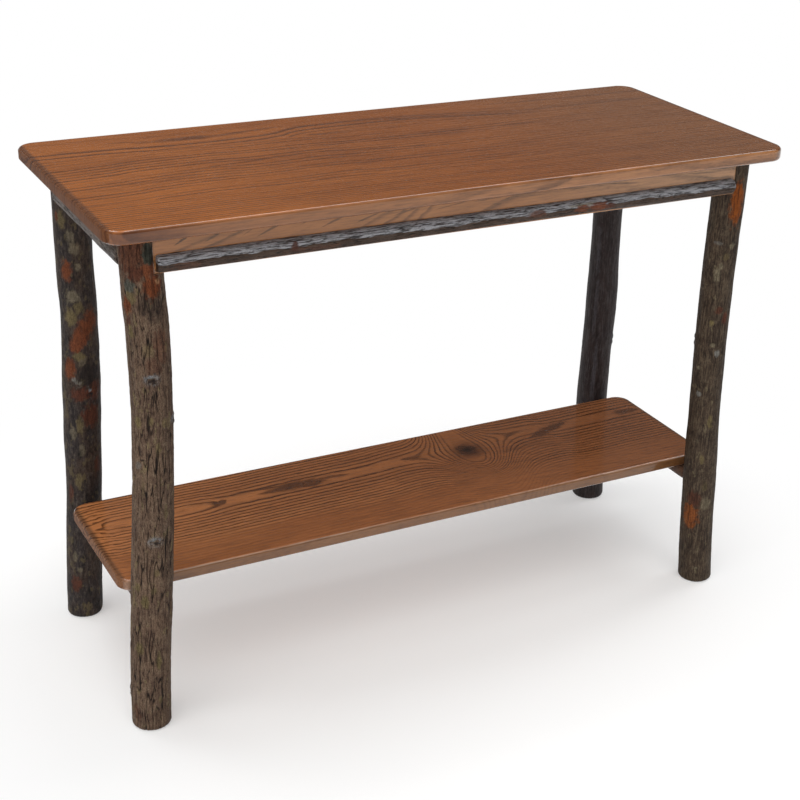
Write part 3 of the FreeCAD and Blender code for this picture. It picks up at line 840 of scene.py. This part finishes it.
# The shelf's tones are lighter than the top's: painted light that makes up for the shade the top
# casts on the shelf
shelf_tones = dict(
    light=(0.80, 0.525, 0.325), deep=(0.70, 0.44, 0.262), reflection_tone=(0.57, 0.365, 0.235),
    dark=(0.215, 0.115, 0.07), pore=(0.14, 0.08, 0.05), band=0.84, fibre=0.36, pores=0.22,
    deepened=((0.0, 0.1), (0.35, 0.3), (0.7, 0.95), (1.0, 1.1)),
    front=((0.47, 0.325, 0.20), (0.45, 0.31, 0.19)), arris_highlight=(0.74, 0.66, 0.60),
    end=(0.50, 0.345, 0.24))
apron_tones = dict(
    light=(0.695, 0.475, 0.29), deep=(0.635, 0.42, 0.245), reflection_tone=(0.725, 0.55, 0.40),
    dark=(0.25, 0.185, 0.13), pore=(0.17, 0.12, 0.09), band=0.66, fibre=0.32, pores=0.14,
    deepened=((0.0, 0.3), (0.5, 0.4), (1.0, 0.5)))

# How a front edge's painted sheen changes along its length, and the arris's painted highlight by
# facing
front_edge_change = ((0.0, 0.0), (0.06, 0.12), (0.13, 0.45), (0.3, 0.62), (0.5, 0.78),
                     (0.8, 1.0), (0.93, 1.0), (1.0, 0.75))
arris_highlight_by_facing = ((0.0, 0.0), (0.3, 0.0), (0.5, 0.6), (0.75, 0.6), (0.9, 0.0), (1.0, 0.0))

# The lie of the rings: heart gives the line that they are curved about and depth how many rings
# lie above it, both as pairs of a share of the length and a value. Flecks are dark spindles:
# place along and across, half length and half width in millimetres, slope and strength.
front_board = dict(
    seed=13.0, ring=0.0075, heart=((0.0, -0.33), (0.4, -0.324), (0.7, -0.334), (1.0, -0.33)),
    depth=((0.0, 3.0), (1.0, 4.2)), wander=0.014, ripple=0.5, contrast=(0.25, 0.8))
middle_board = dict(
    seed=47.0, ring=0.0115,
    heart=((0.0, -0.25), (0.08, -0.245), (0.125, -0.238), (0.2, -0.236), (0.28, -0.241),
           (0.35, -0.238), (0.41, -0.244), (0.5, -0.248), (0.625, -0.25), (0.8, -0.246),
           (1.0, -0.25)),
    depth=((0.0, 3.0), (1.0, 3.2)), wander=0.012, ripple=0.4, contrast=(0.15, 0.85),
    calm_from=0.4,
    flecks=((-250, 12, 125, 2.8, 0.096, 0.85), (-50, 6, 140, 2.8, -0.15, 0.9),
            (-80, -6, 130, 2.2, -0.1, 0.6), (-370, -33, 130, 2.2, 0.01, 0.6),
            (-210, 53, 150, 2.4, -0.05, 0.7), (150, 56, 200, 2.4, -0.03, 0.75)))
back_board = dict(
    seed=59.0, ring=0.0125,
    heart=((0.0, 0.168), (0.1, 0.166), (0.16, 0.159), (0.22, 0.156), (0.3, 0.159),
           (0.35, 0.168), (0.41, 0.188), (0.5, 0.190), (0.6, 0.180), (0.7, 0.164),
           (0.78, 0.152), (1.0, 0.150)),
    depth=((0.0, 3.1), (0.36, 3.0), (0.5, 3.1), (0.75, 3.2), (1.0, 3.3)),
    wander=0.004, ripple=0.35, contrast=(0.4, 1.0), calm_from=0.6, plain_above=(0.176, 0.186),
    flecks=((-290, 157, 105, 14, 0.0, 0.55), (-375, 166, 45, 3.6, -0.2, 0.6),
            (-200, 164, 75, 4.2, 0.1, 0.75), (-294, 156.5, 50, 15, 0.0, 0.78),
            (120, 141.5, 190, 2.6, -0.146, 1.0), (100, 154, 150, 1.8, -0.125, 0.8),
            (160, 128, 150, 2, -0.125, 0.9), (420, 138, 130, 2.2, -0.02, 0.6),
            (430, 128, 120, 2, -0.02, 0.5)))
top_figures = (front_board, middle_board,
               dict(middle_board, contrast=(0.2, 0.95), calm_from=0.45), back_board)
shelf_figure = dict(
    seed=71.0, ring=0.0078,
    heart=((0.0, 0.041), (0.2, 0.039), (0.33, 0.043), (0.46, 0.046), (0.54, 0.053),
           (0.64, 0.044), (0.70, 0.058), (0.77, 0.070), (0.82, 0.060), (0.94, 0.063),
           (1.0, 0.062)),
    depth=((0.0, 3.5), (0.023, 2.85), (0.045, 2.2), (0.13, 2.0), (0.205, 2.85), (0.235, 3.1),
           (0.30, 3.02), (0.36, 3.02), (0.454, 3.2), (0.53, 3.05), (0.765, 3.02),
           (0.84, 3.04), (1.0, 3.05)),
    wander=0.004, ripple=0.45, contrast=(0.68, 1.0), plain_below=(-0.085, -0.03),
    knot=(0.1427, 0.0437, 0.036, 6.6, 0.78, 0.015), ragged_until=0.07,
    flecks=((-172, 44, 76, 18, 0.02, 0.85), (-225, 56, 50, 5, -0.12, 0.8),
            (-110, 49, 40, 6, -0.05, 0.7), (309, 55, 55, 16, 0.33, 0.8),
            (478, 64, 34, 13, 0.0, 0.75), (42, 55, 22, 8, -0.1, 0.75),
            (-298, 40, 12, 13, 0.5, 0.85)))
apron_figure = dict(
    seed=83.0, ring=0.012,
    heart=((0.0, 0.40), (0.35, 0.52), (0.5, 0.60), (0.62, 0.625), (0.8, 0.612), (1.0, 0.585)),
    depth=((0.0, 2.0), (1.0, 2.0)), wander=0.010, ripple=0.5, contrast=(0.0, 0.75))
front_apron_flecks = (
    (-420, 736.5, 16, 2.2, 0.55, 1.0), (-377, 736, 20, 2.4, 0.5, 1.0),
    (-335, 733, 10, 1.4, 0.5, 0.6), (-299, 735, 24, 2.4, 0.42, 1.0),
    (-250, 738, 12, 1.4, 0.4, 0.6), (-206, 735, 26, 2.2, 0.36, 0.9),
    (-157, 733, 22, 2.4, 0.3, 0.9), (-92, 736, 30, 2, 0.22, 0.9), (-30, 734, 30, 1.6, 0.12, 0.7),
    (40, 737, 40, 1.8, 0.05, 0.8), (100, 733, 34, 1.6, -0.02, 0.6),
    (165, 736, 45, 1.8, -0.06, 0.8), (250, 734, 45, 1.8, -0.08, 0.8),
    (330, 737, 50, 1.6, -0.06, 0.7), (400, 733.5, 40, 1.8, -0.05, 0.7))


# Gives a board its oak, and the faces at its two ends the same oak without varnish
def finish_board(board, name, end_name, figure, tones):
    board.data.materials.append(oak(name, figure, tones))
    board.data.materials.append(oak(end_name, figure, tones, sealed=False))
    for polygon in board.data.polygons:
        if abs(polygon.normal.x) > end_grain_from:
            polygon.material_index = 1


# Top boards
slab = slab_of("top_slab", top_length, top_depth, top_height, top_thickness, top_corner_radius,
               top_edge_radius)
boards = len(top_figures)
cuts = [None, *(top_depth * (i / boards - 0.5) for i in range(1, boards)), None]
for i, figure in enumerate(top_figures):
    board = strip_of(slab, cuts[i], cuts[i + 1], "top_oak_board_%d" % (i + 1))
    finish_board(board, "top_oak_%d" % (i + 1), "top_oak_end_%d" % (i + 1),
                 dict(figure, upright=False, length=top_length, face=top_height), top_tones)
    add_piece(board, board_sharp_degrees, "top_board_%d" % (i + 1))
discard(slab)

# Shelf
shelf = slab_of("shelf_oak_board", shelf_length, shelf_depth, shelf_height, shelf_thickness,
                shelf_corner_radius, shelf_edge_radius)
finish_board(shelf, "shelf_oak", "shelf_oak_end",
             dict(shelf_figure, upright=False, length=shelf_length, face=shelf_height),
             shelf_tones)
add_piece(shelf, board_sharp_degrees, "shelf_board")


# The bark of a leg, with its cracks, knots and marks
def leg_skin(name):
    leg = legs[name]
    shaft = top_bottom - foot_edge_radius
    heights = [foot_edge_radius * (1 - math.cos(step / foot_steps * math.pi / 2))
               for step in range(foot_steps + 1)]
    count = round(shaft / leg_step)
    heights += [foot_edge_radius + shaft * (i + 1) / count for i in range(count)]
    rings, cracks, weights, colours = [], [], [], []
    around = leg["points_around"]
    for up in heights:
        centre, radius = leg_ring(leg, up / top_bottom)
        below_edge = max(foot_edge_radius - up, 0.0)
        gone = foot_edge_radius - math.sqrt(foot_edge_radius ** 2 - below_edge ** 2)
        ring = []
        for i in range(around):
            angle = i / around * 2 * math.pi
            outward = Vector((math.cos(angle), math.sin(angle), 0))
            height, crack = bark_relief(outward * radius, up, leg["bark"], leg["seed"])
            rise, lid, heart = knot_at(leg["knot_shares"], up, angle, radius)
            weight, colour = mark_at(leg["marks"], top_bottom, up, angle, radius, leg["seed"])
            if lid > weight:
                weight, colour = lid, mark_lights["lid"]
            if heart > weight:
                weight, colour = heart, mark_lights["dark"]
            ring.append(centre + outward * (radius - gone + height * (1 - heart) + rise))
            cracks.append(crack * (1 - max(heart, weight * 0.5)))
            weights.append(weight)
            colours.append(colour)
        rings.append(ring)
    piece = skin_of_rings(name.replace("leg_", "bark_leg_"), rings, True)
    store_bark(piece, cracks, weights, colours)
    return piece


# The two notches and the four screw holes of a leg
def fill_leg_cutter(mesh, side_x, side_y):
    above = top_bottom + overrun
    cutter_box(mesh, (side_x * long_shoulder, side_y * long_back, apron_bottom),
               (side_x * (short_face - pole_diameter - overrun),
                side_y * (long_face + overrun), above))
    cutter_box(mesh, (side_x * short_back, side_y * short_shoulder, apron_bottom),
               (side_x * (short_face + overrun),
                side_y * (long_face - pole_diameter - overrun), above))
    for share in long_apron_screw_height_shares:
        cutter_bore(mesh, (side_x * (long_shoulder - leg_screw_from_shoulder),
                           side_y * (long_back - leg_wood_under_head),
                           apron_bottom + share * apron_height), Vector((0, -side_y, 0)))
    for share in short_apron_screw_height_shares:
        cutter_bore(mesh, (side_x * (short_back - leg_wood_under_head),
                           side_y * (short_shoulder - leg_screw_from_shoulder),
                           apron_bottom + share * apron_height), Vector((-side_x, 0, 0)))


for name, leg in legs.items():
    piece = leg_skin(name)
    piece.data.materials.append(bark(name.replace("leg_", "bark_"), leg["tones"], leg["seed"],
                                     "z"))
    cut_out(piece, cut_wood, fill_leg_cutter, *leg["side"])
    add_piece(piece, leg_sharp_degrees, name)

# Bark colours of the trims, paler above their middle from wear and a painted sheen, and of the
# rails
long_trim_tones = dict(
    base=(0.27, 0.205, 0.165), second=(0.235, 0.175, 0.135), pale=(0.31, 0.25, 0.21),
    crack=(0.075, 0.06, 0.055), lichen=(0.42, 0.28, 0.20), crack_weight=0.85, mottle=0.4,
    streak=0.5, grain=0.3, lichen_from=(0.68, 0.72), lichen_weight=0.5, rough=0.36, shine=0.25,
    worn_sheen=(0.61, 0.615, 0.635), worn_sheen_dark=(0.27, 0.25, 0.245))
short_trim_tones = dict(long_trim_tones, worn_sheen=(0.42, 0.37, 0.335),
                        worn_sheen_dark=(0.27, 0.235, 0.215))
rail_tones = dict(
    base=(0.33, 0.225, 0.16), second=(0.29, 0.195, 0.14), pale=(0.40, 0.29, 0.21),
    crack=(0.12, 0.085, 0.065), lichen=(0.30, 0.28, 0.22), crack_weight=0.6, mottle=0.4,
    streak=0.4, grain=0.3, lichen_from=(0.64, 0.68), lichen_weight=0.3, rough=0.45, shine=0.3)


# A split sapling with its flat on an apron's face, which lies outward from the table's middle
def trim_skin(name, outward, face, length, girths, marks, seed):
    middle = outward * face + Vector((0, 0, trim_height))
    direction = Vector((abs(outward.y), abs(outward.x), 0))
    count = round(length / trim_step)
    rings, cracks, weights, colours = [], [], [], []
    for step in range(count + 1):
        share = step / count - 0.5
        along = share * length
        radius = trim_diameter / 2 * value_at(trim_ring_shares, girths, share)
        gone = trim_inset + trim_end_wear * max(0, 2 - min(step, count - step))
        ring = []
        for i in range(trim_points_across + 1):
            angle = (i / trim_points_across - 0.5) * math.pi
            round_place = Vector((math.cos(angle), math.sin(angle), 0)) * radius
            height, crack = bark_relief(round_place, along, trim_bark_shape, seed)
            reach = radius + height * math.cos(angle * 0.9) - gone
            ring.append(middle + direction * along + outward * (math.cos(angle) * reach)
                        + Vector((0, 0, math.sin(angle) * reach)))
            weight, colour = mark_at(marks, length, along, angle, radius, seed)
            cracks.append(crack * (1 - weight * 0.6))
            weights.append(weight)
            colours.append(colour)
        rings.append(ring)
    piece = skin_of_rings(name, rings, False)
    store_bark(piece, cracks, weights, colours)
    return piece


long_trim = (long_face, long_trim_length, long_trim_girth_shares, long_trim_tones)
short_trim = (short_face, short_trim_length, short_trim_girth_shares, short_trim_tones)
for word, outward, axis, sort, marks, seed in (
        ("front", (0, -1, 0), "x", long_trim, front_trim_marks, 5.0),
        ("back", (0, 1, 0), "x", long_trim, back_trim_marks, 9.0),
        ("left", (-1, 0, 0), "y", short_trim, (), 13.0),
        ("right", (1, 0, 0), "y", short_trim, right_trim_marks, 19.0)):
    face, length, girths, tones = sort
    piece = trim_skin("bark_trim_" + word, Vector(outward), face, length, girths, marks, seed)
    piece.data.materials.append(bark("trim_" + word, tones, seed, axis))
    add_piece(piece, sapling_sharp_degrees, "trim_" + word)


# A round rail with its shoulders and tenons, and a flat where the shelf lies on it
def rail_skin(name, side, seed):
    ends = {leg["side"][1]: leg_ring(leg, rail_height / top_bottom)
            for leg in legs.values() if leg["side"][0] == side}
    middle_x = (ends[-1][0].x + ends[1][0].x) / 2
    front = ends[-1][0].y + ends[-1][1]
    back = ends[1][0].y - ends[1][1]
    body_start, body_end = front + rail_shoulder, back - rail_shoulder
    shoulder = [(rail_shoulder * share, tenon_radius + (rail_radius - tenon_radius) * share)
                for share in rail_shoulder_shares]
    stops = [(front - tenon_depth, tenon_radius), (front, tenon_radius)]
    stops += [(front + inward, radius) for inward, radius in shoulder]
    count = round((body_end - body_start) / rail_step)
    for step in range(count + 1):
        part = step / count
        girth = value_at(rail_ring_shares, rail_girth_shares, part - 0.5)
        stops.append((body_start + part * (body_end - body_start), rail_radius * girth))
    stops += [(back - inward, radius) for inward, radius in reversed(shoulder)]
    stops += [(back, tenon_radius), (back + tenon_depth, tenon_radius)]
    rings, cracks = [], []
    for y, radius in stops:
        barked = body_start <= y <= body_end
        on_flat = abs(y) < shelf_depth / 2 + rail_flat_beyond_shelf
        ring = []
        for i in range(rail_points_around):
            angle = i / rail_points_around * 2 * math.pi
            round_place = Vector((math.cos(angle), math.sin(angle), 0))
            height, crack = bark_relief(round_place * radius, y, rail_bark_shape, seed)
            reach = radius + height if barked else radius
            up = rail_height + math.sin(angle) * reach
            ring.append((middle_x + math.cos(angle) * reach, y,
                         min(up, shelf_bottom) if on_flat else up))
            cracks.append(crack if barked else 0.0)
        rings.append(ring)
    piece = skin_of_rings(name, rings, True)
    store_bark(piece, cracks)
    return piece, middle_x


# The screw holes under a rail
def fill_rail_cutter(mesh, middle_x):
    seat_height = rail_height - rail_radius + rail_counterbore_depth
    for share in shelf_screw_shares:
        cutter_bore(mesh, (middle_x, share * shelf_depth, seat_height), Vector((0, 0, -1)))


for word, side, seed in (("left", -1, 23.0), ("right", 1, 37.0)):
    piece, middle_x = rail_skin("bark_rail_" + word, side, seed)
    piece.data.materials.append(bark("rail_" + word, rail_tones, seed, "y"))
    cut_out(piece, tenon_wood, fill_rail_cutter, middle_x)
    add_piece(piece, sapling_sharp_degrees, "rail_" + word)


# Gives a solid that keeps its own shape its finish
def dress(node_name, material):
    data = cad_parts[node_name].data
    data.materials.clear()
    data.materials.append(material)


# Aprons, cleats and fasteners
for word, turn in (("front", 0), ("back", 5), ("left", 11), ("right", 17)):
    turned = word in ("left", "right")
    figure = dict(apron_figure, seed=apron_figure["seed"] + turn, upright=True,
                  length=2 * long_shoulder, face=0.0)
    if word == "front":
        figure["flecks"] = front_apron_flecks
    dress("apron_" + word, oak("apron_oak_" + word, figure, apron_tones, turned))
    dress("cleat_" + word, plain_wood("cleat_wood_" + word, *cleat_tones, 11.0 + turn, turned))
for word in ("leg", "cleat", "top", "shelf"):
    dress(word + "_screws", screw_steel)
dress("trim_brads", brad_steel)

# Floor: plain paint to the light, but seen and reflected it pales to pure white further out
mesh = bmesh.new()
bmesh.ops.create_grid(mesh, x_segments=1, y_segments=1, size=half_floor)
floor = add_mesh_object("floor", mesh)
m = Nodes(bpy.data.materials.new("floor_paint"))
shader = m.tree.nodes["Principled BSDF"]
shader.inputs["Base Color"].default_value = (0.96, 0.96, 0.96, 1)
shader.inputs["Roughness"].default_value = 0.9
shader.inputs["Specular IOR Level"].default_value = 0.0
seen = (m.ray("Camera") + m.ray("Glossy")).math("ADD", m.ray("Transmission"), use_clamp=True)
reach = m.node("VectorMath", (m.place,), "Value", operation="LENGTH")
glow = reach.ranged(pale_from, pale_until, pale_at_middle) * seen
blend = m.node("MixShader", (glow, Value(m, shader.outputs[0]), m.node("Emission")))
m.set(m.tree.nodes["Material Output"].inputs["Surface"], blend)
floor.data.materials.append(m.owner)

# World: white to the camera, dim all round the table and brighter overhead, with a bright band
# above the horizon that only reflections meet
world = bpy.data.worlds.new("studio")
bpy.context.scene.world = world
sky = Nodes(world, place="Generated")
horizon = sky.z.ranged(0.05, 0.14, 0.92, 0.0)
overhead = sky.z.ranged(0.6, 0.9, 0.08, 0.7)
reflected = sky.ray("Glossy").math("ADD", sky.ray("Transmission"), use_clamp=True)
background = sky.tree.nodes["Background"]
sky.set(background.inputs["Strength"],
        (horizon * reflected + overhead).math("MAXIMUM", sky.ray("Camera")))
background.inputs["Color"].default_value = (0.98, 0.99, 1.0, 1)


# Adds a lamp at a place, turned towards another
def add_lamp(name, kind, energy, colour, place, target):
    data = bpy.data.lights.new(name, kind)
    data.energy = energy
    data.color = colour
    lamp = add_object(name, data)
    lamp.location = place
    lamp.rotation_mode = "QUATERNION"
    lamp.rotation_quaternion = (Vector(target) - Vector(place)).to_track_quat("-Z", "Y")
    return lamp


# Lamps: a wide soft sun, which reflections leave out so that the varnish doesn't whiten, and two
# panels overhead for the shine along the edges
sun = add_lamp("sun", "SUN", 2.45, (1.0, 0.985, 0.96), (-1.5, -1.8, 2.3), (0, 0, 0.5))
sun.data.angle = math.radians(90)
sun.visible_glossy = False
for name, place, width, depth, energy in (("long_strip", (0.95, 0.05, 2.37), 2.6, 0.55, 25.0),
                                          ("corner_box", (-0.85, 0.55, 2.4), 0.6, 0.6, 9.0)):
    panel = add_lamp(name, "AREA", energy, (0.98, 0.99, 1.0), place, (place[0], place[1], 0))
    panel.data.shape = "RECTANGLE"
    panel.data.size, panel.data.size_y = width, depth

# Camera
camera_data = bpy.data.cameras.new("camera")
camera_data.sensor_width = sensor_width
camera_data.lens = camera_focal_pixels * sensor_width / picture_width_pixels
camera_data.shift_x = (picture_width_pixels / 2 - camera_centre_pixels) / picture_width_pixels
camera_data.clip_start, camera_data.clip_end = 0.05, 100.0
camera = add_object("camera", camera_data)
camera.matrix_world = (Matrix.Translation(camera_place)
                       @ Matrix.Rotation(-camera_yaw, 4, "Z")
                       @ Matrix.Rotation(math.pi / 2 - camera_pitch, 4, "X")
                       @ Matrix.Rotation(camera_roll, 4, "Z"))
bpy.context.scene.camera = camera

bpy.context.scene.view_settings.view_transform = "Standard"
